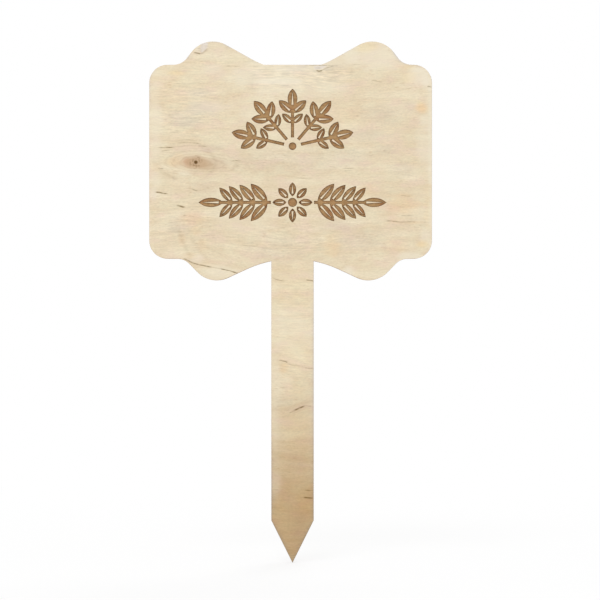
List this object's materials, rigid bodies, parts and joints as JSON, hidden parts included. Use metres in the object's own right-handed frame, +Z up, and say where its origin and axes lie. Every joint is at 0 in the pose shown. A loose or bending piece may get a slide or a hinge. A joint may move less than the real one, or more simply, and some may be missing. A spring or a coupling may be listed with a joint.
{
  "type": "plant label stake",
  "caption": "Flat wooden plant label: a lobed plaque with engraved leaf ornament on one pointed stake, cut from a single sheet of plywood.",
  "frame": {"origin": "tip of the stake's point, midway through the board's thickness", "axes": "+Z up the stake to the plaque, +Y out of the plain back face, so the engraved face looks along -Y, +X to the right of someone who faces the engraving"},
  "size_m": [0.1624, 0.006, 0.2995],
  "materials": {
    "face_veneer": "sanded bare birch with the grain level, engraving burnt to a mid brown",
    "crossband_veneer": "bare birch with the grain upright, its edge browned by the cut",
    "core_veneer": "bare birch with the grain level, its edge browned by the cut",
    "glue_line": "cured dark brown resin glue film"
  },
  "bodies": {
    "root": {"front_face_veneer": "face_veneer", "front_outer_glue_line": "glue_line", "front_crossband": "crossband_veneer", "front_inner_glue_line": "glue_line", "core_veneer": "core_veneer", "back_inner_glue_line": "glue_line", "back_crossband": "crossband_veneer", "back_outer_glue_line": "glue_line", "back_face_veneer": "face_veneer"}
  },
  "joints": []
}
